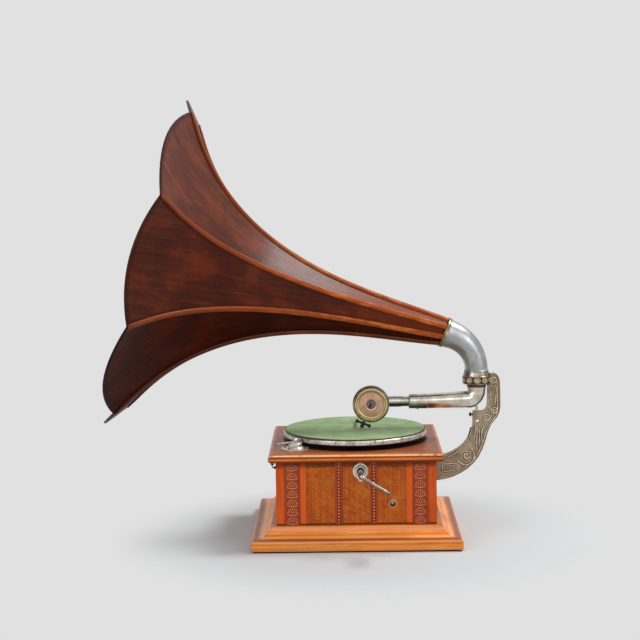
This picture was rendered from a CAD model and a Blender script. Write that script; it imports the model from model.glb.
"""Table gramophone with an outside wooden horn: looks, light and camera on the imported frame."""
from math import acos, atan2, cos, hypot, pi, radians, sin, sqrt, tan

import bpy
import numpy as np
from mathutils import Matrix, Vector


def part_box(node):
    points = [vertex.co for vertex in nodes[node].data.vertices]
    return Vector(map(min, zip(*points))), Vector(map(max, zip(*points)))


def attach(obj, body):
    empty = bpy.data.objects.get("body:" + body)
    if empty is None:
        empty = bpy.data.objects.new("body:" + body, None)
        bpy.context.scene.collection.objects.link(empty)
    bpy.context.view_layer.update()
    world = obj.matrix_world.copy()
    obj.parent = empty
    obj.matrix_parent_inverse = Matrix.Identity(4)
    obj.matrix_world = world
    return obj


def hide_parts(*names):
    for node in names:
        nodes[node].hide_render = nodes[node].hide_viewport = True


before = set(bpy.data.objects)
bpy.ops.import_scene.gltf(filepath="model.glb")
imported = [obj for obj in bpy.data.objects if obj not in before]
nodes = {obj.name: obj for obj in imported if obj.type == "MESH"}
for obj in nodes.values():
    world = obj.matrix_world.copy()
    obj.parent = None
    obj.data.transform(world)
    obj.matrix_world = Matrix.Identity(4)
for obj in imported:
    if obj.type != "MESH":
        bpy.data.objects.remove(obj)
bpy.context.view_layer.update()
scene = bpy.context.scene

# Camera: a long lens at a little over table height, looking slightly down.
# Its place and angles come from a fit of the model's corners to the photograph.
CAMERA_AT, PITCH, YAW, TILT = (-0.0195, -2.9925, 0.6917), 0.10423, 0.013478, -0.0143977
cam_data = bpy.data.cameras.new("camera")
cam_data.lens, cam_data.sensor_width = 95.318, 36
cam_data.clip_start, cam_data.clip_end = 0.1, 50
camera = bpy.data.objects.new("camera", cam_data)
scene.collection.objects.link(camera)
ahead = Vector((-sin(YAW) * cos(PITCH), cos(YAW) * cos(PITCH), -sin(PITCH)))
level = Vector((cos(YAW), sin(YAW), 0))
above = level.cross(ahead)
right = level * cos(TILT) + above * sin(TILT)
up = above * cos(TILT) - level * sin(TILT)
camera.matrix_world = Matrix([(right[i], up[i], -ahead[i], CAMERA_AT[i]) for i in range(3)] + [(0, 0, 0, 1)])
scene.camera = camera
scene.view_settings.view_transform = "Standard"


# Floor and light: a pale table top that fades into an even grey room, and four soft lamps.
# The top lamp draws the long highlights on the metal, the other three keep the wood clear.
def lin(colour):
    """Linear RGBA of an sRGB hex colour."""
    parts = [int(colour[i:i + 2], 16) / 255 for i in (0, 2, 4)]
    return [c / 12.92 if c <= 0.04045 else ((c + 0.055) / 1.055) ** 2.4 for c in parts] + [1]


def new_material(name):
    """A material without nodes; the nodes added next go to it."""
    global tree
    material = bpy.data.materials.new(name)
    material.use_nodes = True
    tree = material.node_tree
    tree.nodes.clear()
    return material


def add(kind, *inputs, stops=(), **others):
    """One shader node, with its inputs in order or by name, its settings and its colour stops.
    An input is a value, a socket, or a node, which stands for its first output in use; a word
    before the inputs is the node's operation."""
    node = tree.nodes.new("ShaderNode" + kind)
    if inputs and isinstance(inputs[0], str):
        node.operation, *inputs = inputs
    for key in [k for k in others if k not in node.inputs]:
        setattr(node, key, others.pop(key))
    for i, (at, tone) in enumerate(stops):
        marks = node.color_ramp.elements
        mark = marks[i] if i < len(marks) else marks.new(at)
        mark.position, mark.color = at, lin(tone)
    filled = list(zip([s for s in node.inputs if s.enabled], inputs))
    for socket, value in filled + [(node.inputs[key], value) for key, value in others.items()]:
        if isinstance(value, bpy.types.Node):
            value = next(s for s in value.outputs if s.enabled)
        if isinstance(value, bpy.types.NodeSocket):
            tree.links.new(value, socket)
        else:
            socket.default_value = value
    return node


SMOOTH = {"interpolation_type": "SMOOTHSTEP"}
FLOOR_TONE, ROOM_TONE, SHADE_TONE = "d5d8da", "e1e1e1", "c4c4c4"
FLOOR_HALF, FADE_AT, FADE_FROM, FADE_TO = 7, (0.02, -0.05, 0), 0.25, 0.47
floor_mesh = bpy.data.meshes.new("floor")
corners = [(a * FLOOR_HALF, b * FLOOR_HALF, 0) for a, b in ((-1, -1), (1, -1), (1, 1), (-1, 1))]
floor_mesh.from_pydata(corners, [], [(0, 1, 2, 3)])
floor = bpy.data.objects.new("floor", floor_mesh)
scene.collection.objects.link(floor)
floor_mesh.materials.append(new_material("pale_paper"))
off_centre = add("VectorMath", "SUBTRACT", add("TexCoord").outputs["Object"], FADE_AT)
reach = add("VectorMath", "LENGTH", off_centre)
fade = add("MapRange", reach, FADE_FROM, FADE_TO, **SMOOTH)
paper = add("MixShader", fade, add("BsdfDiffuse", lin(FLOOR_TONE)), add("BsdfTransparent"))
add("OutputMaterial", paper)

world = bpy.data.worlds.new("room")
scene.world = world
world.use_nodes = True
tree = world.node_tree
tree.nodes.clear()
seen = add("LightPath").outputs
pale = add("Math", "MAXIMUM", seen["Is Camera Ray"], seen["Is Glossy Ray"])
room = add("MixShader", pale, add("Background", lin(SHADE_TONE), 0.8), add("Background", lin(ROOM_TONE), 1))
add("OutputWorld", room)

LAMPS_AIM = Vector((0, 0, 0.3))
LAMPS = [("top_lamp", (1.5, 0.5, 2.6), (0.8, 0.8), 42), ("left_lamp", (-3.2, -3.2, 2.3), (2.2, 2.4), 62),
         ("right_lamp", (3.3, -2.8, 1.9), (1.8, 2.4), 40), ("front_lamp", (0.2, -3.8, 2.0), (3.4, 1.8), 20)]
for name, place, size, power in LAMPS:
    data = bpy.data.lights.new(name, "AREA")
    data.shape, data.size, data.size_y, data.energy = "RECTANGLE", size[0], size[1], power
    obj = bpy.data.objects.new(name, data)
    obj.location = place
    obj.rotation_euler = (LAMPS_AIM - Vector(place)).to_track_quat("-Z", "Y").to_euler()
    scene.collection.objects.link(obj)


# Base: an oak slab with a rounded edge, and the floor board whose cove is run on mitred lengths.
# Golden oak under shellac: growth bands, short dark pores, worn and darker at the lower corners.
def mottle(where, size, detail=3.0, roughness=0.55, distortion=0.0):
    """Uneven patches; size is their width in millimetres, one for all or one for each axis."""
    sides = size if isinstance(size, tuple) else (size, size, size)
    scaled = add("VectorMath", "MULTIPLY", where, [1000 / s for s in sides])
    return add("TexNoise", Vector=scaled, Scale=1, Detail=detail, Roughness=roughness, Distortion=distortion)


COLOUR = {"data_type": "RGBA"}


def tint(colour, stains):
    """Lays stains over a colour. Each is a hex tone, how much of it, and a mask from 0 to 1, or
    a value with the two limits between which the stain comes in."""
    for tone, amount, mask, *limits in stains:
        if limits:
            mask = add("MapRange", mask, *limits, **SMOOTH)
        colour = add("Mix", add("Math", "MULTIPLY", mask, amount), colour, lin(tone), **COLOUR)
    return colour


def strip(value, low, high, soft=0.0006):
    """1 between low and high, smooth at both ends."""
    rising = add("MapRange", value, low - soft, low + soft, **SMOOTH)
    falling = add("MapRange", value, high + soft, high - soft, **SMOOTH)
    return add("Math", "MULTIPLY", rising, falling)


def position():
    """Sockets x, y, z of the place on the object, and the whole vector."""
    where = add("TexCoord").outputs["Object"]
    return (*add("SeparateXYZ", where).outputs, where)


def mitred(half):
    """Grain that turns on the two side lengths of a frame of that half size, and its mitre lines."""
    x, y, z, where = position()
    past_x = add("Math", "SUBTRACT", add("Math", "ABSOLUTE", x), half[0])
    past_y = add("Math", "SUBTRACT", add("Math", "ABSOLUTE", y), half[1])
    past = add("Math", "SUBTRACT", past_x, past_y)
    side = add("Math", "GREATER_THAN", past, 0.0)
    other_board = add("VectorMath", "ADD", add("CombineXYZ", y, x, z), (3.1, 1.7, 0.4))
    grain = add("Mix", side, where, other_board, data_type="VECTOR")
    return grain, add("Math", "LESS_THAN", add("Math", "ABSOLUTE", past), 0.0004)


def wood_colour(grain, pale, middle, dark, pore, bands=3.0, pores=0.5):
    """Colour and bump height of a wood whose grain runs along the vector's x."""
    rings = mottle(grain, (110, bands, bands), 4, 0.6, 0.5)
    fibre = mottle(grain, (22, 0.6, 0.6), 4, 0.65)
    fine = add("Math", "MULTIPLY", fibre, 0.35)
    tone = add("Math", "MULTIPLY_ADD", rings, 0.65, fine)
    colour = add("ValToRGB", tone, stops=[(0.34, dark), (0.49, middle), (0.63, pale)])
    uneven = add("Math", "MULTIPLY_ADD", mottle(grain, (90, 45, 45), 2), 0.5, 0.76)
    grey = add("CombineColor", uneven, uneven, uneven)
    colour = add("Mix", 1.0, colour, grey, blend_type="MULTIPLY", **COLOUR)
    dots = add("MapRange", mottle(grain, (4.5, 0.32, 0.32), 2), 0.6, 0.68, **SMOOTH)
    return tint(colour, [(pore, pores, dots)]), add("Math", "SUBTRACT", fine, dots)


def finish(colour, height=None, depth_mm=0.1, roughness=0.4, rough_patches=None, metallic=0.0,
           coat=0.0, coat_rough=0.2, sheen=0.0, specular=0.5):
    """The finished surface, with its relief, and its roughness varied by patches."""
    if rough_patches is not None:
        roughness = add("Math", "MULTIPLY_ADD", rough_patches, 0.3, roughness - 0.15)
    inputs = {"Base Color": colour, "Roughness": roughness, "Metallic": metallic, "Coat Weight": coat,
              "Coat Roughness": coat_rough, "Sheen Weight": sheen, "Specular IOR Level": specular}
    if height is not None:
        inputs["Normal"] = add("Bump", Height=height, Distance=depth_mm / 1000, Strength=0.5)
    add("OutputMaterial", add("BsdfPrincipled", **inputs))


def dress(material, *names):
    """Gives CAD nodes a finished material."""
    for name in names:
        slots = nodes[name].material_slots
        if not slots:
            nodes[name].data.materials.append(material)
        for slot in slots:
            slot.material = material


base_oak = new_material("golden_oak_shellac")
x, _, z, where = position()
grain, joint = mitred((0.180, 0.178))
colour, height = wood_colour(grain, "ffb75e", "f7923d", "d26c27", "793a15", 3.4, 0.45)
far_right = add("MapRange", x, 0.09, 0.18, **SMOOTH)
amount = add("Math", "MULTIPLY_ADD", far_right, 0.45, 0.12)
colour = tint(colour, [("5a3320", amount, mottle(where, (26, 26, 9), 4), 0.60, 0.72)])
# Lines worn or dirty along the mouldings: from and to which height, tone, amount.
WEAR = [(0.0384, 0.0400, "6d3212", 0.5), (0.0300, 0.0376, "ec9d78", 0.5), (0.0246, 0.0275, "e57b2c", 0.55),
        (0.0222, 0.0236, "ffc48d", 0.5), (0.0200, 0.0216, "5d260c", 0.75), (0.0168, 0.0194, "f6b283", 0.45),
        (0.0142, 0.0156, "8a4519", 0.5), (0.0020, 0.0056, "a87c58", 0.45)]
colour = tint(colour, [(tone, amount, strip(z, low, high)) for low, high, tone, amount in WEAR])
colour = tint(colour, [("a04c14", 0.3, z, 0.0215, 0.0205), ("6b3417", 0.6, joint)])
finish(colour, height, 0.12, 0.36, mottle(where, 14), coat=0.06, specular=0.2)
dress(base_oak, "base_slab", "base_cove")


# Felt sheet under the slab: thin black wool felt, pressed and glued on.
# It shows only as a soft, dull dark line on the table.
def piece(name, verts, faces, body, material, slot, smooth=35):
    """A mesh piece in millimetres; edges sharper than smooth degrees stay sharp."""
    mesh = bpy.data.meshes.new(name)
    mesh.from_pydata([[c / 1000 for c in v] for v in verts], [], faces)
    mesh.update()
    mesh.shade_smooth()
    mesh.set_sharp_from_angle(angle=radians(smooth))
    mesh.materials.append(material)
    obj = bpy.data.objects.new(name, mesh)
    scene.collection.objects.link(obj)
    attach(obj, body)
    return obj


def loft(rings, closed=True, caps=True):
    """Faces between equal rows of points; closed joins each row's ends, caps fill the two end rows."""
    n = len(rings[0])
    verts = [p for ring in rings for p in ring]
    faces = []
    for r in range(len(rings) - 1):
        for k in range(n if closed else n - 1):
            j = (k + 1) % n
            faces.append((r * n + k, r * n + j, (r + 1) * n + j, (r + 1) * n + k))
    if caps:
        faces.append(tuple(range(n - 1, -1, -1)))
        faces.append(tuple((len(rings) - 1) * n + k for k in range(n)))
    return verts, faces


def felt_material(name, pale, middle, dark, edge=None):
    """Wool felt, its fuzz fine and its dye cloudy; edge is the tone of a dirty, ragged rim."""
    material = new_material(name)
    where = add("TexCoord").outputs["Object"]
    fuzz = mottle(where, 0.5, 4, 0.7)
    tone = add("Math", "MULTIPLY_ADD", fuzz, 0.45, add("Math", "MULTIPLY", mottle(where, 32), 0.55))
    colour = add("ValToRGB", tone, stops=[(0.36, dark), (0.5, middle), (0.64, pale)])
    if edge:
        level_part = add("VectorMath", "MULTIPLY", where, (1, 1, 0))
        radius = add("VectorMath", "LENGTH", level_part)
        ragged = add("Math", "MULTIPLY_ADD", mottle(where, 3), 0.004, radius)
        colour = tint(colour, [(edge, 1.0, ragged, 0.1250, 0.1268)])
    finish(colour, fuzz, 0.35, 0.95, sheen=0.08, specular=0.05)
    return material


def rounded_slab(lo, hi, radius, steps=3):
    """Rounded box as rings from bottom to top."""
    angles = [pi / 2 * i / steps for i in range(steps + 1)]
    levels = [(lo[2] + radius * (1 - cos(a)), radius * (1 - sin(a))) for a in angles]
    levels += [(hi[2] - radius * (1 - sin(a)), radius * (1 - cos(a))) for a in angles]
    quarters = [(hi[0] - radius, hi[1] - radius, 0), (lo[0] + radius, hi[1] - radius, 90),
                (lo[0] + radius, lo[1] + radius, 180), (hi[0] - radius, lo[1] + radius, 270)]
    rings = []
    for z_at, inset in levels:
        r = max(radius - inset, 0.05)
        spots = [(cx, cy, radians(start + 30 * i)) for cx, cy, start in quarters for i in range(4)]
        rings.append([(cx + r * cos(a), cy + r * sin(a), z_at) for cx, cy, a in spots])
    return loft(rings)


black_felt = felt_material("pressed_black_felt", "2a211c", "1c1512", "120d0b")
lo, hi = [v * 1000 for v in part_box("base_felt")]
under = piece("under_felt", *rounded_slab(lo, hi, 1.2), "base", black_felt, "felt_under")
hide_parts("base_felt")


# Case walls: framed quarter-sawn oak panels, red-brown posts and fillets planted on, all varnished.
# The panels show the short slanting ray flecks of quarter-sawn oak, darker just under the lid.
def from_middle(x, y):
    """Distances from the case's middle plane to the side and to the front, and the larger one."""
    wide, deep = add("Math", "ABSOLUTE", x), add("Math", "ABSOLUTE", y)
    return wide, deep, add("Math", "MAXIMUM", wide, deep)


case_oak = new_material("quartered_oak_varnish")
x, y, z, where = position()
wide, deep, depth = from_middle(x, y)
across = add("Mix", add("Math", "GREATER_THAN", wide, deep), x, y, data_type="FLOAT")
raised = add("MapRange", depth, 0.1366, 0.1368, **SMOOTH)
flat, upright = add("CombineXYZ", across, z, depth), add("CombineXYZ", z, across, depth)
slant = add("VectorRotate", Vector=flat, Angle=radians(32), rotation_type="Z_AXIS")
panel, panel_height = wood_colour(upright, "c8661f", "b55517", "9c430c", "672b09", 5.0, 0.2)
blotch = mottle(flat, (26, 20, 20))
panel = tint(panel, [("c07a22", 0.4, blotch, 0.52, 0.64), ("a63c14", 0.35, blotch, 0.46, 0.36)])
rays = mottle(slant, (13, 1.2, 3), 2, 0.5, 0.2)
cloudy = add("MapRange", mottle(flat, (22, 16, 16), 2), 0.42, 0.6, **SMOOTH)
thick = add("Math", "MULTIPLY_ADD", cloudy, 0.5, 0.2)
panel = tint(panel, [
    ("7c2d08", thick, rays, 0.5, 0.6),
    ("e28a3f", 0.4, mottle(slant, (5, 1.1, 3), 2), 0.56, 0.66)])
post, _ = wood_colour(upright, "df601b", "cb5116", "ac3f0f", "722a0b", 2.6, 0.3)
aside = add("Math", "ABSOLUTE", across)
post = tint(post, [("74280c", 0.5, aside, 0.1362, 0.1370), ("e16421", 0.55, aside, 0.100, 0.099)])
colour = add("Mix", raised, panel, post, **COLOUR)
uneven = add("Math", "MULTIPLY_ADD", mottle(flat, (14, 8, 8)), 0.008, z)
amount = add("Math", "MULTIPLY_ADD", raised, -0.15, 0.75)
colour = tint(colour, [("5f2812", amount, uneven, 0.1405, 0.1455), ("2c1006", 0.9, z, 0.0428, 0.0408)])
height = add("Math", "MULTIPLY_ADD", rays, -0.4, panel_height)
finish(colour, height, 0.12, 0.42, mottle(where, 17), coat=0.04, specular=0.15)
dress(case_oak, "case_front", "case_back", "case_left", "case_right")


# Carved bands: seven small shells to a band, cut in relief on a sunk, redder ground.
# Each shell is a fan of drop-shaped lobes round a small arch, over a lens-shaped bar.
WALL_FACE, SUNK = 136.3, 0.02
SIDES = [Matrix.Rotation(radians(90 * k), 4, "Z") for k in range(4)]


def drop(foot, angle, length, width, height, steps=5, around=7):
    """Domed drop from its narrow foot to its round tip, as [across, up, out] points and faces."""
    east, north = sin(angle), cos(angle)
    rings = []
    for s in [i / steps for i in range(steps + 1)]:
        half = width / 2 * (0.32 + 0.68 * s) * sqrt(max(0.0, 1 - s ** 4)) + SUNK
        swell = 0.55 + 0.45 * sin(pi * min(1, s * 1.1) * 0.5)
        rise = height * swell * sqrt(max(0.0, 1 - s ** 5))
        rings.append([(foot[0] + east * s * length - north * v * half,
                       foot[1] + north * s * length + east * v * half,
                       rise * sqrt(max(0.0, 1 - v * v)) - SUNK)
                      for v in [1 - 2 * k / (around - 1) for k in range(around)]])
    return loft(rings, closed=False, caps=False)


def ridge_line(path, width, height, around=7):
    """Half-round raised line along a path of [across, up] points, thinned at its ends."""
    rings = []
    n = len(path)
    for i, p in enumerate(path):
        a, b = path[max(0, i - 1)], path[min(n - 1, i + 1)]
        run = hypot(b[0] - a[0], b[1] - a[1]) or 1
        slim = 0.35 + 0.65 * sqrt(sin(pi * (i + 0.5) / n))
        side = (-(b[1] - a[1]) / run * width / 2 * slim, (b[0] - a[0]) / run * width / 2 * slim)
        rings.append([(p[0] + side[0] * v, p[1] + side[1] * v,
                       height * slim * sqrt(max(0.0, 1 - v * v)) - SUNK)
                      for v in [2 * k / (around - 1) - 1 for k in range(around)]])
    return loft(rings, closed=False, caps=False)


def gather(parts):
    """Joins (verts, faces) lists into one."""
    verts, faces = [], []
    for v, f in parts:
        faces += [tuple(len(verts) + i for i in face) for face in f]
        verts += v
    return verts, faces


def on_wall(turn, parts):
    """Joins parts drawn as [across, up, out] and sets them on one wall of the case."""
    verts, faces = gather(parts)
    return [turn @ Vector((u, -WALL_FACE - w, v)) for u, v, w in verts], faces


BAND_AT, BAND_W, BAND_LOW, BAND_HIGH, GROUND = 109.75, 26.9, 39.8, 148.7, 0.8
SHELLS, LOBES = 7, 9
pitch_mm = (BAND_HIGH - BAND_LOW) / SHELLS
fan = [radians(-98 + 24.5 * k) for k in range(LOBES)]
shell = [drop((5.7 * sin(a), 3.4 + 5.9 * cos(a)), a, 4.3, 2.5, 1.6) for a in fan]
lens = [(6.4 * (2 * k / 12 - 1), 1.25 - 0.6 * cos(pi * (2 * k / 12 - 1) * 0.5)) for k in range(13)]
shell.append(ridge_line(lens, 1.7, 1.4))
shell.append(ridge_line([(3.5 * sin(a), 3.3 + 3.6 * cos(a)) for a in
                         [radians(-90 + 180 * k / 10) for k in range(11)]], 1.3, 1.3))
shell.append(drop((0, 2.6), 0, 2.2, 1.6, 1.2))
shell_verts, shell_faces = gather(shell)
carved = []
for turn in SIDES:
    for end in (-1, 1):
        outline = [(-1, BAND_LOW), (1, BAND_LOW), (1, BAND_HIGH), (-1, BAND_HIGH)]
        plate = [(end * BAND_AT + u * BAND_W / 2, v, w) for w in (0, GROUND) for u, v in outline]
        plate_faces = [(4, 5, 6, 7), (0, 1, 5, 4), (1, 2, 6, 5), (2, 3, 7, 6), (3, 0, 4, 7), (3, 2, 1, 0)]
        local = [(plate, plate_faces)]
        for row in range(SHELLS):
            local.append(([(end * BAND_AT + u, BAND_LOW + pitch_mm * row + v + 0.4, GROUND + w)
                           for u, v, w in shell_verts], shell_faces))
        carved.append(on_wall(turn, local))
carved_oak = new_material("carved_oak_varnish")
x, y, z, where = position()
colour, height = wood_colour(add("CombineXYZ", z, x, y), "a8421a", "8c3211", "6e240a", "451506", 2.2, 0.25)
*_, depth = from_middle(x, y)
hollow = add("AmbientOcclusion", Distance=0.002, samples=6).outputs["AO"]
colour = tint(colour, [
    ("f4986a", 0.9, depth, 0.1370, 0.1378),
    ("4a1607", 0.6, z, 0.1385, 0.1450),
    ("6a260e", 0.7, hollow, 0.9, 0.5)])
finish(colour, height, 0.06, 0.4, mottle(where, 6), coat=0.08, specular=0.2)
bands = piece("carved_bands", *gather(carved), "base", carved_oak, "carving", 60)
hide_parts("case_carving")


# Bead strips: oak, a row of half beads between two flat edges, two strips glued to each wall.
# The beads are rubbed pale on top, and old varnish has gathered dark between them.
def dome(cx, cy, rx, ry, height, rings=4, around=12):
    """Oval half bead on its round foot."""
    verts, faces = [(cx, cy, height)], []
    for i in range(1, rings + 1):
        a = pi / 2 * i / rings
        for k in range(around):
            b = 2 * pi * k / around
            verts.append((cx + rx * sin(a) * cos(b), cy + ry * sin(a) * sin(b),
                          height * cos(a) - SUNK))
    for k in range(around):
        j = (k + 1) % around
        faces.append((0, 1 + k, 1 + j))
        for i in range(rings - 1):
            a, b = 1 + i * around, 1 + (i + 1) * around
            faces.append((a + k, b + k, b + j, a + j))
    return verts, faces


BEADS, STRIP_AT = 20, 30
strips = []
for turn in SIDES:
    for end in (-1, 1):
        section = [(-6, 0), (-6, 0.8), (-5.6, 1.0), (-2.7, 1.0), (-2.4, 0.5),
                   (2.4, 0.5), (2.7, 1.0), (5.6, 1.0), (6, 0.8), (6, 0)]
        rings = [[(end * STRIP_AT + u, v, w) for u, w in section] for v in (BAND_LOW, BAND_HIGH)]
        local = [loft(rings)]
        for k in range(BEADS):
            v = BAND_LOW + (BAND_HIGH - BAND_LOW) * (k + 0.5) / BEADS
            domed, bead_faces = dome(end * STRIP_AT, v, 2.1, 2.35, 2.4)
            local.append(([(a, b, c + 0.5) for a, b, c in domed], bead_faces))
        strips.append(on_wall(turn, local))
bead_oak = new_material("bead_oak_varnish")
x, y, z, where = position()
colour, height = wood_colour(add("CombineXYZ", z, x, y), "be521c", "a74114", "87300c", "5a1d07", 2.2, 0.25)
*_, depth = from_middle(x, y)
hollow = add("AmbientOcclusion", Distance=0.003, samples=6).outputs["AO"]
colour = tint(colour, [
    ("6e260e", 0.45, depth, 0.1375, 0.1371),
    ("ec9a70", 0.85, depth, 0.1379, 0.1391),
    ("571c09", 0.75, hollow, 0.92, 0.45)])
finish(colour, height, 0.05, 0.34, mottle(where, 6), coat=0.12, specular=0.2)
beads = piece("bead_strips", *gather(strips), "base", bead_oak, "carving", 50)
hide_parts("case_beads")


# Lid: a mitred oak moulding round the board that carries the turntable, varnished red-brown.
# Its top has darkened with age, the edge keeps a bright worn line, the plate's shade stays matt.
LID_HALF, PLATE_EDGE, PLATE_SHADE = 0.1505, 0.1295, 0.1268
lid_oak = new_material("lid_oak_varnish")
*_, z, where = position()
grain, joint = mitred((LID_HALF, LID_HALF))
colour, height = wood_colour(grain, "e07c38", "cd6829", "ad501c", "602a12", 3.2, 0.35)
colour = tint(colour, [
    ("8a4520", 0.55, z, 0.1632, 0.1642),
    ("ffd09a", strip(z, 0.1602, 0.1626), mottle(where, 12, 4), 0.25, 0.48),
    ("57260f", 0.7, strip(z, 0.1572, 0.1588)),
    ("5f240a", 0.75, z, 0.1536, 0.1524),
    ("5b2a12", 0.5, joint)])
finish(colour, height, 0.1, 0.34, mottle(where, 15), coat=0.1, coat_rough=0.18, specular=0.2)
dress(lid_oak, "lid_moulding")

board_oak = new_material("board_oak_varnish")
x, y, _, where = position()
colour, height = wood_colour(where, "a75c31", "934c25", "783a19", "4c2110", 3.6, 0.35)
from_spindle = add("VectorMath", "LENGTH", add("CombineXYZ", x, y))
under = add("MapRange", from_spindle, PLATE_EDGE, PLATE_SHADE, **SMOOTH)
colour = tint(colour, [("140804", 0.93, under)])
gloss = add("Math", "MULTIPLY_ADD", under, -0.08, 0.08)
matt = add("Math", "MULTIPLY_ADD", under, 0.5, mottle(where, 20))
finish(colour, height, 0.1, 0.38, matt, coat=gloss, specular=0.12)
dress(board_oak, "motor_board")


# Lid hook and its eyes: steel wire, bent, blackened and screwed in under the lid.
# It is greasy, so it looks nearly black with brown rust in spots.
def from_axis(x, z, at):
    """Distance from a line that runs front to back through at = (x, z)."""
    off_x, off_z = (add("Math", "SUBTRACT", v, c) for v, c in zip((x, z), at))
    return add("VectorMath", "LENGTH", add("CombineXYZ", off_x, off_z))


def metal(name, pale, dark, roughness, patch, spots, spot_amount, spot_low, scratches=0.25,
          foot=None, ring=None, dull=None, shine=1.0, grease=None):
    """Metal with patches of tarnish, fine scratches and spots of a third colour.
    foot and ring are (height, tone, softness) of a dark part below or above a height; above the
    height dull it is matt, shine below 1 is a chalky film, grease is the middle of a dark ring."""
    material = new_material(name)
    x, _, z, where = position()
    clouds = mottle(where, patch, 4, 0.6)
    colour = add("ValToRGB", clouds, stops=[(0.36, dark), (0.62, pale)])
    lines, pits = mottle(where, (9, 0.25, 0.25), 3, 0.6), mottle(where, 0.8, 3, 0.6)
    height = add("Math", "MULTIPLY_ADD", lines, scratches, add("Math", "MULTIPLY", pits, scratches))
    rough = add("Math", "MULTIPLY_ADD", lines, 0.06, roughness + 0.04)
    rough = add("Math", "MULTIPLY_ADD", clouds, -0.12, rough)
    marks = add("MapRange", mottle(where, patch * 0.3, 5, 0.7), spot_low, spot_low + 0.08, **SMOOTH)
    colour = tint(colour, [(spots, spot_amount, marks)])
    rough = add("Math", "MULTIPLY_ADD", marks, 0.25, rough)
    metallic = add("Math", "MULTIPLY_ADD", marks, -0.6 * shine, shine)
    if dull:
        matt = add("MapRange", z, dull - 0.003, dull + 0.003, **SMOOTH)
        rough = add("Math", "MULTIPLY_ADD", matt, 0.25, rough)
    for (level, tone, soft), way in [(part, way) for part, way in ((foot, -1), (ring, 1)) if part]:
        dirty = add("MapRange", z, level - way * soft, level + way * soft, **SMOOTH)
        colour = tint(colour, [(tone, 1.0, dirty)])
        metallic = add("Math", "MULTIPLY_ADD", dirty, -0.5, metallic)
    if grease:
        colour = tint(colour, [("2f2a1d", 0.9, from_axis(x, z, grease), 0.0072, 0.0062)])
    finish(colour, height, 0.03, rough, metallic=metallic)
    return material


black_steel = metal("blackened_steel", "3c3935", "262321", 0.42, 6, "4a2c1b", 0.5, 0.6)
dress(black_steel, "lid_hook", "hook_eyes")


# Crank plate: pressed brass, nickelled and rubbed dull, with a bush for the shaft and its grease.
# Two screws hold it; they and the dial's three are plain steel, brown in their slots.
dress(metal("dull_nickel", "e6e2d8", "c3bcaa", 0.26, 9, "7c6f58", 0.45, 0.6, grease=(0.0075, 0.1325)),
      "escutcheon")
dress(metal("screw_steel", "a8a196", "837b6d", 0.38, 5, "5b4630", 0.6, 0.58), "small_screws")


# Crank: one forged and bent steel rod, thicker at the shaft, nickelled and worn dark on the arm.
# Its beech handle is turned, oiled by the hand, and spins on the pin against a washer.
def tube(path, radii, around=24):
    """Round rod along a path in millimetres with a radius at each point."""
    points = [Vector(p) for p in path]
    side = None
    rings = []
    for i, p in enumerate(points):
        run = (points[min(len(points) - 1, i + 1)] - points[max(0, i - 1)]).normalized()
        if side is None:
            side = run.orthogonal().normalized()
        side = (side - run * side.dot(run)).normalized()
        other = run.cross(side)
        rings.append([tuple(p + (side * cos(a) + other * sin(a)) * radii[i])
                      for a in [2 * pi * k / around for k in range(around)]])
    return loft(rings)


def bend(before, corner, after, radius, steps=8):
    """Points of a rounded corner between two straight runs."""
    a, b = (Vector(before) - Vector(corner)).normalized(), (Vector(after) - Vector(corner)).normalized()
    half = acos(max(-1, min(1, a.dot(b)))) / 2
    back = radius / tan(half)
    centre = Vector(corner) + (a + b).normalized() * (radius / sin(half))
    start, end = Vector(corner) + a * back - centre, Vector(corner) + b * back - centre
    sweep = start.angle(end)
    axis = start.cross(end).normalized()
    return [tuple(centre + Matrix.Rotation(sweep * k / steps, 3, axis) @ start) for k in range(steps + 1)]


SHAFT_X, SHAFT_Z, ARM_Y, PIN_X, PIN_Z, PIN_Y = 7.5, 132.5, -186.5, 58.95, 99.72, -245.5
SHAFT_R, ARM_R, PIN_R = 4.5, 3.2, 2.5
shaft_end, arm_start = (SHAFT_X, -132.5, SHAFT_Z), (SHAFT_X, ARM_Y, SHAFT_Z)
arm_end, pin_end = (PIN_X, ARM_Y, PIN_Z), (PIN_X, PIN_Y, PIN_Z)
first = bend(shaft_end, arm_start, arm_end, 6.5)
second = bend(arm_start, arm_end, pin_end, 6)
path = [shaft_end, (SHAFT_X, -150, SHAFT_Z), (SHAFT_X, -170, SHAFT_Z)] + first
path += [tuple(Vector(first[-1]).lerp(Vector(second[0]), f)) for f in (0.1, 0.35, 0.65, 0.9)]
path += second + [(PIN_X, -200, PIN_Z), pin_end]
radii = [SHAFT_R] * 3 + [SHAFT_R - (SHAFT_R - ARM_R) * k / 8 for k in range(9)] + [2.9, 2.75, 2.8, ARM_R]
radii += [3.4 - (3.4 - PIN_R) * k / 8 for k in range(9)] + [PIN_R, PIN_R]
rod = tube(path, radii)
washer = tube([(PIN_X, y_at, PIN_Z) for y_at in (PIN_Y, -245.6, -246.6, -246.9)], [3.4, 4, 4, 3.5])
crank_nickel = metal("crank_nickel", "b0aba1", "787268", 0.18, 16, "54412f", 0.45, 0.56)
crank_rod = piece("crank_rod", *gather([rod, washer]), "crank", crank_nickel, "nickel", 50)
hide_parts("crank")

handle_wood = new_material("turned_beech_oiled")
x, y, z, where = position()
colour, height = wood_colour(add("CombineXYZ", y, x, z), "c06c38", "a15127", "7c3a1b", "452513", 2.0, 0.4)
colour = tint(colour, [("583620", 0.5, mottle(where, 11, 4), 0.52, 0.7),
                       ("d8925f", 0.55, y, -0.2500, -0.2512)])
finish(colour, height, 0.08, 0.4, mottle(where, 8), coat=0.05, specular=0.2)
dress(handle_wood, "crank_knob")


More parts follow.
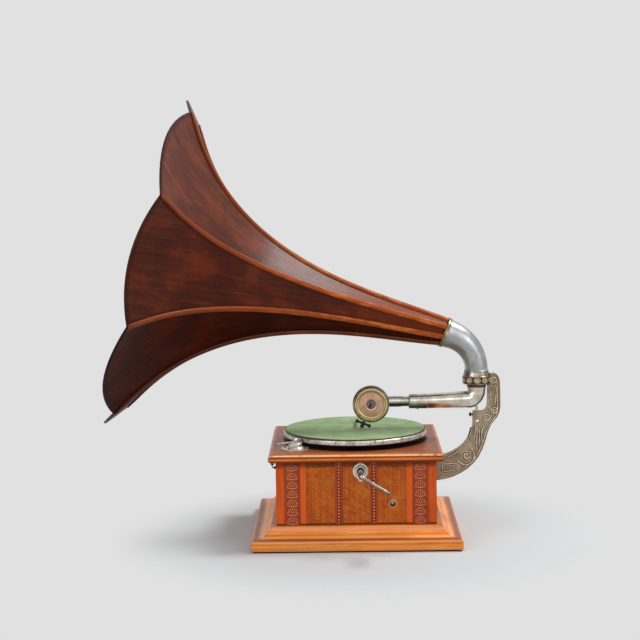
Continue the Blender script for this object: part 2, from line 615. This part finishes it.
# Turntable: a spun steel plate with a nickelled rim, stained brown in places and black underneath.
# Its green felt is glued on, faded in patches, its edge cut a little wavy.
dress(metal("platter_nickel", "dad2ca", "a89c8e", 0.38, 16, "7d5a3a", 0.75, 0.54,
            foot=(0.1748, "0d0a09", 0.0004)), "turntable")
bright_steel = metal("bright_steel", "d9d7d2", "b5b1a8", 0.2, 10, "6d604f", 0.3, 0.66)
dress(bright_steel, "spindle")

green_felt = felt_material("faded_green_felt", "b4cb9d", "9eb886", "87a171", "3f5434")
FELT_UNDER, FELT_TOP, WAVY_FROM = 182.55, 184.5, 120
section = [(3.75, FELT_UNDER), (60, FELT_UNDER), (125.2, FELT_UNDER), (125.6, 183.0), (125.6, 184.0),
           (125.1, 184.45), (124, FELT_TOP), (110, FELT_TOP), (80, FELT_TOP), (40, FELT_TOP),
           (5.2, FELT_TOP), (3.9, 184.2), (3.75, 183.5)]
rings = []
for radius, z_at in section:
    ring = []
    for k in range(180):
        a = 2 * pi * k / 180
        wave = 0.35 * sin(11 * a + 1) * sin(5 * a) + 0.2 * sin(29 * a)
        r = radius - 0.3 + wave * 0.5 if radius > WAVY_FROM else radius
        ring.append((r * cos(a), r * sin(a), z_at))
    rings.append(ring)
verts, faces = loft(rings + [rings[0]], caps=False)
felt_disc = piece("turntable_cloth", verts, faces, "turntable", green_felt, "green_felt", 60)
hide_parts("turntable_felt")


# Speed dial and brake: nickelled brass plate and knob screwed to the board, with a chalky film.
# The brake is a bent steel lever with a pad of brown leather that rubs on the plate's rim.
dress(metal("dial_nickel", "e9e3d8", "c4bcac", 0.28, 7, "6b5a43", 0.5, 0.6, shine=0.6), "dial_plate",
      "speed_knob")
dress(metal("lever_steel", "c9c4b9", "9c9487", 0.32, 6, "5a4733", 0.5, 0.58, shine=0.7), "brake_lever")
leather = new_material("brown_leather")
where = add("TexCoord").outputs["Object"]
pebble = add("TexVoronoi", Vector=where, Scale=1400, feature="DISTANCE_TO_EDGE")  # 0.7 mm pebbles
tone = add("ValToRGB", mottle(where, 3, 4), stops=[(0.35, "3b2416"), (0.65, "6a4427")])
finish(tone, pebble, 0.1, 0.7, sheen=0.1)
LEVER_AT, PAD_THICK, PLATE_R = Vector((-104.5, -97, 173.5)), 1.9, 127
pad_verts, pad_faces = rounded_slab((0, -3, -0.6), (PAD_THICK, 3, 6.4), 0.5)
turn = Matrix.Rotation(atan2(-LEVER_AT.y, -LEVER_AT.x), 4, "Z")
pad_start = hypot(LEVER_AT.x, LEVER_AT.y) - PLATE_R - 0.4 - PAD_THICK
placed = [tuple(LEVER_AT + turn @ Vector((pad_start + v[0], v[1], v[2]))) for v in pad_verts]
pad = piece("brake_leather", placed, pad_faces, "brake", leather, "brake_leather")
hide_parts("brake_pad")


# Back bracket: cast iron in old bronze lacquer, scrolls in low relief on both faces.
# Raised lines are rubbed bright, hollows keep dark dirt, and the outer edge is red-brown.
bronze = new_material("bronzed_cast_iron")
x, y, _, where = position()
clouds, cast = mottle(where, 16, 4), mottle(where, 1.1, 4, 0.65)
hollow = add("AmbientOcclusion", Distance=0.003, samples=6).outputs["AO"]
colour = add("ValToRGB", clouds, stops=[(0.35, "817057"), (0.5, "988770"), (0.65, "ad9d86")])
outer = add("Math", "MULTIPLY_ADD", clouds, 0.02, x)
colour = tint(colour, [
    ("85522f", 0.6, outer, 0.253, 0.263),
    ("3d3122", 0.85, hollow, 0.85, 0.45),
    ("c3b39b", 0.4, add("Math", "ABSOLUTE", y), 0.0084, 0.0092)])
finish(colour, cast, 0.15, 0.42, clouds, metallic=0.75)
dress(bronze, "back_bracket")


def arc_points(cx, cz, radius, start, end, n=14, shrink=0.0):
    """Arc or spiral in the bracket's plane, angles in degrees."""
    out = []
    for k in range(n + 1):
        f = k / n
        a = radians(start + (end - start) * f)
        r = radius * (1 - shrink * f)
        out.append((cx + r * cos(a), cz + r * sin(a)))
    return out


def through(points, n=6):
    """Smooth path through the given points."""
    out = []
    for i in range(len(points) - 1):
        p0, p1 = points[max(0, i - 1)], points[i]
        p2, p3 = points[i + 1], points[min(len(points) - 1, i + 2)]
        for k in range(n):
            t = k / n
            out.append(tuple(0.5 * (2 * b + (c - a) * t + (2 * a - 5 * b + 4 * c - d) * t * t
                                    + (3 * b - a - 3 * c + d) * t ** 3)
                             for a, b, c, d in zip(p0, p1, p2, p3)))
    return out + [points[-1]]


spiral = arc_points(198.4, 133.1, 9.4, 200, -440, 48, 0.88)
big_c = through([(181.4, 129.4), (182.6, 124.3), (187.1, 119.9), (194.3, 116.6), (202.1, 117.5),
    (208.6, 121.8), (211.8, 129), (211.3, 137.8), (208, 145.1), (203, 148)])
outer_line = through([(150.4, 98.5), (165.5, 99), (181.3, 102.5), (195.7, 111.8), (208.6, 121.8),
    (217.3, 134.8), (224.5, 149.2), (229.6, 163.7), (234.6, 178.1), (238.9, 186.7), (246.1, 196.8),
    (252, 206.3), (253.9, 219.8), (253.4, 242.9), (252.8, 264.5), (249.3, 274.2)])
inner_line = through([(150, 127.2), (157.8, 128.8), (167.1, 131.9), (178.6, 137.9), (190.1, 147.2),
    (198.8, 157.2), (204.3, 168.8), (207.4, 181.3)])
# Every raised line of the relief: its path, width and height in millimetres.
relief = [
    (spiral, 3.04, 1.44),
    (big_c, 3.04, 1.44),
    (arc_points(246.4, 268, 5.4, 0, 360, 26), 2.56, 1.32),
    (arc_points(246.4, 268, 2.4, 0, 360, 18), 2.24, 1.44),
    (arc_points(247.6, 214, 5.4, 0, 360, 26), 2.72, 1.44),
    (arc_points(247.6, 214, 2.0, 0, 360, 18), 2.56, 1.56),
    (through([(224.7, 205), (233.3, 206.3), (239, 204.9), (240.4, 199.7), (236.1, 195.5),
     (231.1, 197.7), (231.2, 202), (234.7, 202.9)]), 2.56, 1.44),
    (through([(215.9, 145), (216.7, 162.4), (217.2, 176.9), (217.5, 185.6)]), 2.4, 1.32),
    (through([(212.4, 160.3), (213.9, 174.4), (215.4, 184.6)]), 2.24, 1.32),
    (through([(220.5, 148.4), (221.5, 165), (220.4, 180), (222.4, 188.4)]), 2.4, 1.32),
    (through([(226.5, 158.4), (225.2, 171), (228.1, 182.6), (233.2, 186.8)]), 2.4, 1.32),
    (through([(211.4, 150), (213.4, 154), (210.6, 158.9)]), 2.4, 1.32),
    ([(154.9, 118), (179.2, 119), (179.9, 107.6), (157.6, 104.2), (154.8, 106),
      (154.9, 116.6)], 2.56, 1.32),
    ([(159, 114.6), (173.6, 114.8), (173.6, 109.4), (161.8, 108.6), (161.8, 111.8),
      (169.2, 112)], 2.24, 1.32),
    (through([(242, 258), (241.9, 240), (242.2, 226), (245.4, 222.4), (249.6, 226), (250.8, 240),
     (250.6, 258), (242, 258)]), 2.08, 1.08),
    (outer_line, 2.08, 1.08),
    (inner_line, 2.08, 1.08)]
BRACKET_FACE, HOLLOW_WIDER, HOLLOW_HIGH = 8.0, 1.8, 0.4


def on_bracket(path, width, height):
    """The raised line on both faces of the bracket."""
    verts, faces = ridge_line(path, width, height)
    far = [tuple(reversed(f)) for f in faces]
    return [([(u, side * (BRACKET_FACE + w), v) for u, v, w in verts], faces if side < 0 else far)
            for side in (-1, 1)]


rubbed = new_material("rubbed_bronze")
where = add("TexCoord").outputs["Object"]
tone = add("ValToRGB", mottle(where, 7, 4), stops=[(0.36, "b5a488"), (0.62, "e8ddc6")])
finish(tone, mottle(where, 1), 0.08, 0.4, metallic=0.4)
patina = new_material("dark_patina")
crust = mottle(add("TexCoord").outputs["Object"], 1.4, 4, 0.7)
tone = add("ValToRGB", crust, stops=[(0.36, "2b2219"), (0.62, "54442f")])
finish(tone, crust, 0.15, 0.65, metallic=0.1, specular=0.1)
raised_lines = [part for line in relief for part in on_bracket(*line)]
hollow_lines = [part for path, width, _ in relief
                for part in on_bracket(path, width + HOLLOW_WIDER, HOLLOW_HIGH)]
piece("bracket_scrolls", *gather(raised_lines), "base", rubbed, "cast_iron", 60)
piece("bracket_hollows", *gather(hollow_lines), "base", patina, "cast_iron", 60)

# Collar: cast like the bracket but dirtier, a row of oval bosses in rims round its band.
# The screws and the pin that hold bracket, collar and arm are plain steel.
dress(metal("dirty_bronze", "a49b8b", "6c6355", 0.34, 9, "3a2a1d", 0.6, 0.56), "horn_collar")


def turned(profile, cx, cy, around=72):
    """Ring of points for each [radius, z] of a profile, about a vertical axis."""
    return [[(cx + r * cos(a), cy + r * sin(a), z0)
             for a in [2 * pi * k / around for k in range(around)]] for r, z0 in profile]


COLLAR_X, COLLAR_R, BOSS_Z, BOSSES = 217, 24.5, 269.2, 10
band_rings = turned([[24.3, 263.4], [24.62, 263.7], [24.62, 275.0], [24.3, 275.3]], COLLAR_X, 0)
piece("collar_ground", *loft(band_rings, caps=False), "base", patina, "cast_iron", 60)
rim_line = ridge_line(arc_points(0, 0, 1, 0, 360, 24), 0.9, 0.8)
boss = dome(0, 0, 2.7, 1.9, 1.5)
bosses, rims = [], []
for k in range(BOSSES):
    angle = radians(360 / BOSSES * k - 90)
    for (verts, faces), wide, tall, kept in ((boss, 1, 1, bosses), (rim_line, 5.0, 3.7, rims)):
        placed = []
        for u, v, w in verts:
            a, r = angle + u * wide / COLLAR_R, COLLAR_R - 0.15 + w
            placed.append((COLLAR_X + r * cos(a), r * sin(a), BOSS_Z + v * tall))
        kept.append((placed, faces))
piece("collar_bosses", *gather(bosses), "base", rubbed, "cast_iron", 60)
piece("collar_rims", *gather(rims), "base", bronze, "cast_iron", 60)
dress(black_steel, "clamp_screw", "bracket_screws")
dress(bright_steel, "pivot_pin")


# Tonearm: nickelled brass tube, drawn and bent, bright on top and tarnished underneath.
# Where it leaves the collar it is matt and brown.
dress(metal("tube_nickel", "dcd7cb", "b8b09f", 0.15, 18, "8b7a60", 0.3, 0.66,
            ring=(0.2560, "4e3629", 0.0010), dull=0.2450), "tonearm_tube")
dress(metal("sleeve_nickel", "cfccc2", "a8a294", 0.2, 16, "7b6c54", 0.3, 0.62,
            foot=(0.2255, "3e4033", 0.003)), "tonearm_sleeve")
dress(metal("neck_nickel", "c9c6bf", "98948b", 0.24, 12, "5b5140", 0.4, 0.62,
            foot=(0.2295, "33362b", 0.0035)), "soundbox_neck")


# Soundbox: nickelled shell, brass ring, coppery face plate with a hole, mica behind it.
# The ring is turned and polished, so it shows light and dark circles; the face is dull.
dress(metal("shell_nickel", "a89e8c", "7a6f5b", 0.3, 12, "55452f", 0.6, 0.58), "soundbox_shell")
ring_brass = new_material("polished_brass_ring")
x, _, z, where = position()
tarnish = mottle(where, 7, 4)
SOUNDBOX_AT, FACE_R, RING_R = (0.0286, 0.2310), 0.0217, 0.0288
from_face = add("MapRange", from_axis(x, z, SOUNDBOX_AT), FACE_R, RING_R)
tone = add("ValToRGB", from_face, stops=[
    (0.0, "4a2f14"), (0.16, "f2dca0"), (0.4, "c59c55"), (0.56, "6f4a1f"), (0.74, "f6e6b6"), (1.0, "8a6a3a")])
tone = tint(tone, [("7a5a2c", 0.5, tarnish, 0.55, 0.7)])
finish(tone, tarnish, 0.05, 0.3, tarnish, metallic=0.85)
dress(ring_brass, "soundbox_ring")
dress(metal("face_copper", "c7a38e", "b38771", 0.42, 12, "a36f55", 0.4, 0.6), "soundbox_face")
rubber = new_material("aged_rubber")
where = add("TexCoord").outputs["Object"]
tone = add("ValToRGB", mottle(where, 5), stops=[(0.35, "241f1c"), (0.65, "4a423b")])
finish(tone, mottle(where, 0.9, 4, 0.7), 0.15, 0.75, specular=0.3)
dress(rubber, "soundbox_gasket")
mica = new_material("mica_sheet")
where = add("TexCoord").outputs["Object"]
flakes = add("TexVoronoi", Vector=where, Scale=320, feature="F1").outputs["Color"]  # 3 mm flakes
veil = mottle(where, (4, 4, 1), 4)
tone = add("ValToRGB", veil, stops=[(0.35, "7a5f4a"), (0.65, "b39479")])
finish(add("Mix", 0.15, tone, flakes, **COLOUR), veil, 0.02, 0.2, coat=0.4)
dress(mica, "diaphragm")
dress(black_steel, "stylus_bar", "needle_screw")
dress(bright_steel, "needle")


# Horn elbow: nickelled sheet tube, matt with age, a bead where it stands in the collar.
# A brass ferrule on its upper end takes the wooden neck.
ELBOW_X, ELBOW_Z, ELBOW_TURN, ELBOW_R, ELBOW_WALL = 147.4, 284.3, 67.6, 69.6, 1.4
FERRULE_AT, FOOT_R, BEND_R, FERRULE_R = (161.90, 353.60), 20, 24.5, 26


def elbow_station(f):
    """Centre, tilt and radius at f from 0 (collar) to 1 (ferrule)."""
    if f < 0.8:
        a = radians(ELBOW_TURN * f / 0.8)
        return (ELBOW_X + ELBOW_R * cos(a), ELBOW_Z + 2 + (ELBOW_R - 2) * sin(a), a,
                FOOT_R + (BEND_R - FOOT_R) * (f / 0.8) ** 1.6)
    g = (f - 0.8) / 0.2
    cx, cz, a, _ = elbow_station(0.79999)
    return (cx + (FERRULE_AT[0] - cx) * g, cz + (FERRULE_AT[1] - cz) * g, a,
            BEND_R + (FERRULE_R - BEND_R) * g)


def elbow_skin(inward, order):
    """Rings of the elbow, sunk inward from its outside."""
    rings = []
    for i in order:
        cx, cz, a, r = elbow_station(i / 50)
        r -= inward
        rings.append([(cx + r * cos(t) * cos(a), r * sin(t), cz + r * cos(t) * sin(a))
                      for t in [2 * pi * k / 72 for k in range(72)]])
    return rings


foot_profile = [(18.6, 286.3), (18.6, 281.3), (15.0, 272.0), (15.2, 271.6), (20, 271.6), (20, 284.0),
    (20.6, 284.3), (21.4, 284.5), (21.8, 285.2), (21.8, 285.8), (21.4, 286.5), (20.6, 286.7),
    (20, 286.9), (20, 286.3)]
rings = turned(foot_profile, COLLAR_X, 0)[:-1]
rings += elbow_skin(0, range(1, 51)) + elbow_skin(ELBOW_WALL, range(50, -1, -1))
verts, faces = loft(rings, caps=False)
elbow_nickel = metal("matt_nickel", "b4b4b5", "939496", 0.36, 30, "8b8a84", 0.3, 0.62, 0.35)
elbow = piece("elbow_tube", verts, faces, "horn", elbow_nickel, "nickel", 50)
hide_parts("horn_elbow")
dress(metal("ferrule_brass", "a39478", "73664f", 0.34, 9, "5b4423", 0.4, 0.62), "elbow_ferrule")


# Horn petals: eight bent mahogany boards, French polished, their grain along the horn.
# Dark inside, streaked light and dark, rims rounded and nearly black.
NECK, LENGTH, MOUTH, RISE, ROLL = 23.7, 517.6, 288.8, radians(14), radians(5.6)
HORN_AT = Vector((158.16, 0, 355.14))
AXIS = Vector((-cos(RISE), 0, sin(RISE)))
ACROSS = Vector((sin(RISE), 0, cos(RISE)))
NEAR = Vector((0, -1, 0))
PROFILE = [(0, NECK), (LENGTH * 0.276, NECK + 21.7), (LENGTH * 0.776, MOUTH * 0.132), (LENGTH, MOUTH)]
NECK_SKEW, SKEW_ENDS, MOUTH_LEAN = tan(radians(8.4)), 80, 0.019
BULGE_ON, BULGE_OUT, PETAL_THICK, RIM_ROUND = 20.6, 27.5, 4.0, 1.3


def flare(t):
    """Distance along the axis, radius and slope of the horn at station t."""
    b = [(1 - t) ** 3, 3 * (1 - t) ** 2 * t, 3 * (1 - t) * t * t, t ** 3]
    d = [3 * (1 - t) ** 2, 6 * (1 - t) * t, 3 * t * t]
    s, r = (sum(w * p[i] for w, p in zip(b, PROFILE)) for i in (0, 1))
    ds, dr = (sum(w * (PROFILE[k + 1][i] - PROFILE[k][i]) for k, w in enumerate(d)) for i in (0, 1))
    return s, r, atan2(dr, ds)


def spoke(degrees):
    """Unit vector square to the axis; 0 is the near side, 90 the top."""
    a = radians(degrees) + ROLL
    return cos(a) * NEAR + sin(a) * ACROSS


def horn_point(s, v):
    """Point at s along the axis and v from it; the neck and mouth ends lean a little."""
    lean = NECK_SKEW * max(0.0, 1 - s / SKEW_ENDS) + MOUTH_LEAN * (max(0.0, s) / LENGTH) ** 3
    shift = -v.dot(ACROSS) * lean
    return HORN_AT + (s + shift) * AXIS + v


def petal_point(index, t, w, sunk):
    """Point of a petal at station t and w = -1 to 1 across; towards the mouth it bulges."""
    s, r, slope = flare(t)
    s, r = s - sunk * sin(slope), r + sunk * cos(slope)
    crown = (1 - w * w) * t ** 6
    out = (1 - w) / 2 * r * spoke(45 * index - 67.5) + (1 + w) / 2 * r * spoke(45 * index - 22.5)
    return horn_point(s + BULGE_ON * crown, out + BULGE_OUT * crown * spoke(45 * index - 45))


STATIONS = [(k / 64) ** 0.8 for k in range(65)]
PETAL_COLS = 16
BOARD_HALF, SEAM_GAP, OTHER_WOOD = 0.38, 0.2, (37, 300, 7)  # half board to radius; pattern shifts


def along(stations):
    """For each station, its flare and how much wood lies behind it."""
    run, last = 0.0, None
    for t in stations:
        s, r, slope = flare(t)
        if last:
            run += hypot(s - last[0], r - last[1])
        last = (s, r)
        yield s, r, slope, run


def petal_mesh(index):
    """Outside and inside skins, rounded at the rim, and each point's place along the grain."""
    verts, place, margin = [], [], []
    n = 2 * (PETAL_COLS + 1)
    rows = [(t, 0.0) for t in STATIONS] + [(1.0, 0.75), (1.0, 1.0)]
    for (t, curl), (_, r, slope, run) in zip(rows, along([t for t, _ in rows])):
        edge = 1 - SEAM_GAP / (r * sin(radians(22.5)))
        thin = RIM_ROUND * curl
        for layer in (0, 1):
            for c in range(PETAL_COLS + 1):
                w = 2 * c / PETAL_COLS - 1 if layer == 0 else 1 - 2 * c / PETAL_COLS
                sunk = -thin if layer == 0 else thin - PETAL_THICK
                p = petal_point(index, t, w * edge, sunk)
                if curl:
                    ahead = AXIS * cos(slope) + spoke(45 * index - 45) * sin(slope)
                    p = p + RIM_ROUND * sin(curl * pi / 2) * ahead * 0.5
                verts.append(tuple(p))
                shift = [a * b for a, b in zip(OTHER_WOOD, (index, index, layer))]
                board_at = (run + shift[0], w * r * BOARD_HALF + shift[1], sunk + shift[2])
                place.append([v / 1000 for v in board_at])
                margin.append((t, (1 - abs(w)) * r * BOARD_HALF / 1000, layer))
    faces = []
    for k in range(len(rows) - 1):
        for c in range(n):
            d = (c + 1) % n
            faces.append((k * n + c, (k + 1) * n + c, (k + 1) * n + d, k * n + d))
    for e, flip in ((0, False), ((len(rows) - 1) * n, True)):
        for c in range(PETAL_COLS):
            quad = (e + c, e + c + 1, e + n - 2 - c, e + n - 1 - c)
            faces.append(tuple(reversed(quad)) if flip else quad)
    return verts, faces, place, margin


def petal_wood(name, dark, middle, pale, warm, neck, coat):
    """Mahogany of one tone. The mesh carries grain (place along the board) and edge (station,
    distance from the seam)."""
    wood = new_material(name)
    grain = add("Attribute", attribute_name="grain").outputs["Vector"]
    edge = add("Attribute", attribute_name="edge").outputs["Vector"]
    station, from_seam, _ = add("SeparateXYZ", edge).outputs
    skew = add("VectorRotate", Vector=grain, Angle=radians(5), rotation_type="Z_AXIS")
    rings = mottle(skew, (150, 9, 9), 5, 0.6, 0.6)
    fibre = mottle(skew, (26, 0.9, 0.9), 4, 0.65)
    patches = mottle(grain, (70, 48, 48), 4, 0.6, 0.3)
    tone = add("Math", "MULTIPLY_ADD", fibre, 0.3, add("Math", "MULTIPLY", patches, 0.35))
    tone = add("Math", "MULTIPLY_ADD", rings, 0.35, tone)
    colour = add("ValToRGB", tone, stops=[(0.36, dark), (0.49, middle), (0.6, pale)])
    hatch = add("VectorRotate", Vector=grain, Angle=radians(-38), rotation_type="Z_AXIS")
    pores = add("MapRange", mottle(skew, (7, 0.4, 0.4), 2), 0.6, 0.68, **SMOOTH)
    grime = add("Math", "MAXIMUM", add("MapRange", from_seam, 0.0085, 0.005, **SMOOTH),
                add("MapRange", station, 0.988, 0.996, **SMOOTH))
    near_neck = add("MapRange", station, 0.42, 0.16, **SMOOTH)
    colour = tint(colour, [
        (warm, 0.5, patches, 0.5, 0.66),
        (pale, 0.22, mottle(hatch, (16, 1.1, 1.1)), 0.5, 0.64),
        ("1c0904", 0.4, pores),
        ("1f0c06", 0.6, grime),
        (neck, 0.55, near_neck)])
    polish = add("Math", "MULTIPLY", add("Math", "MULTIPLY_ADD", patches, -0.8, 1.4), coat)
    worn = add("Math", "MULTIPLY_ADD", near_neck, -0.75, 1.0)
    polish = add("Math", "MULTIPLY", polish, worn)
    finish(colour, add("Math", "SUBTRACT", fibre, pores), 0.1, 0.42,
           mottle(grain, (40, 12, 12)), coat=polish, specular=0.08)
    return wood


waxed_petal = petal_wood("mahogany_waxed", "3c150a", "572312", "75361c", "78331a", "93431b", 0.17)
plain_petal = petal_wood("mahogany_plain", "300f08", "4b1c0c", "6b2d14", "70290f", "6e2810", 0.06)
dull_petal = petal_wood("mahogany_dull", "200602", "340b03", "4c1607", "4a1206", "3f0f05", 0.03)
boards = {1: plain_petal, 2: waxed_petal, 3: waxed_petal, 4: waxed_petal, 5: plain_petal,
          6: dull_petal, 7: dull_petal, 8: dull_petal}


def carry(obj, name, values):
    """Gives each point of a mesh three numbers for its material to read."""
    store = obj.data.attributes.new(name, "FLOAT_VECTOR", "POINT")
    store.data.foreach_set("vector", np.array(values, np.float32).ravel())


for index, board in boards.items():
    verts, faces, place, edge = petal_mesh(index)
    petal = piece(f"petal_board_{index}", verts, faces, "horn", board, "mahogany", 40)
    carry(petal, "grain", place)
    carry(petal, "edge", edge)
    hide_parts(f"horn_petal_{index}")


# Horn ribs: half-round strips of lighter wood glued over the eight seams, rounded at the mouth.
# They are paler where hands hold the neck, and darker to the mouth and on the underside.
RIB_HALF, RIB_HIGH, RIB_OUT = 4.6, 3.1, 0.3


def rib_mesh(degrees):
    """One rib over the seam at that angle, and each point's place along its grain."""
    rings, place = [], []
    for t, (s, r, slope, run) in zip(STATIONS, along(STATIONS)):
        drop_side = tan(radians(22.5)) * cos(slope)
        fall = min(1.0, (1 - t) * 26 + 0.25)
        section = []
        for k in range(13):
            a = pi * k / 12
            u, h = RIB_HALF * cos(a), RIB_OUT + RIB_HIGH * sin(a) ** 0.8
            if k in (0, 12):
                h = RIB_OUT - RIB_HALF * drop_side
            section.append((u, RIB_OUT + (h - RIB_OUT) * (fall if h > RIB_OUT else 1)))
        section.append((0, RIB_OUT))
        ring = []
        for u, h in section:
            ps, pr = s - h * sin(slope), r + h * cos(slope)
            ring.append(tuple(horn_point(ps, pr * spoke(degrees) + u * spoke(degrees + 90))))
            place.append((run / 1000, (u + degrees) / 1000, h / 1000))
        rings.append(ring)
    verts, faces = loft(rings)
    return verts, [tuple(reversed(f)) for f in faces], place


rib_wood = new_material("rib_beech_stained")
grain = add("Attribute", attribute_name="grain").outputs["Vector"]
from_neck, round_horn, _ = add("SeparateXYZ", grain).outputs
colour, height = wood_colour(grain, "b85a24", "9c4518", "76300f", "451a09", 2.0, 0.35)
held = add("Math", "MULTIPLY", add("MapRange", mottle(grain, (24, 6, 6), 4), 0.45, 0.65, **SMOOTH),
           add("MapRange", from_neck, 0.42, 0.2, **SMOOTH))
colour = tint(colour, [
    ("dc8238", 0.5, held),
    ("602810", 0.45, from_neck, 0.22, 0.5),
    ("3a150a", 0.75, strip(round_horn, 0.235, 0.305, 0.002))])
finish(colour, height, 0.08, 0.36, mottle(grain, (20, 5, 5)), coat=0.05, specular=0.12)
rib_parts = [rib_mesh(45 * i - 22.5) for i in range(1, 9)]
verts, faces = gather([(v, f) for v, f, _ in rib_parts])
ribs = piece("rib_strips", verts, faces, "horn", rib_wood, "rib_wood", 50)
carry(ribs, "grain", [p for _, _, place in rib_parts for p in place])
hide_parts("horn_ribs")


# Motor: plates and shafts of turned steel, cut brass wheels and an oiled spring in its barrel.
# It hangs under the board inside the case and is seen only with the lid off.
dress(metal("motor_plate_steel", "9a958b", "767067", 0.42, 22, "59452f", 0.5, 0.6), "motor_frame",
      "winding_shaft", "governor")
dress(metal("wheel_brass", "b99a5b", "8d7238", 0.32, 12, "59431d", 0.4, 0.62), "spring_barrel",
      "transfer_wheel", "spindle_gears", "governor_lever")
dress(metal("oiled_spring_steel", "5d5a57", "413e3b", 0.36, 10, "3a2413", 0.5, 0.58), "mainspring",
      "barrel_arbor")
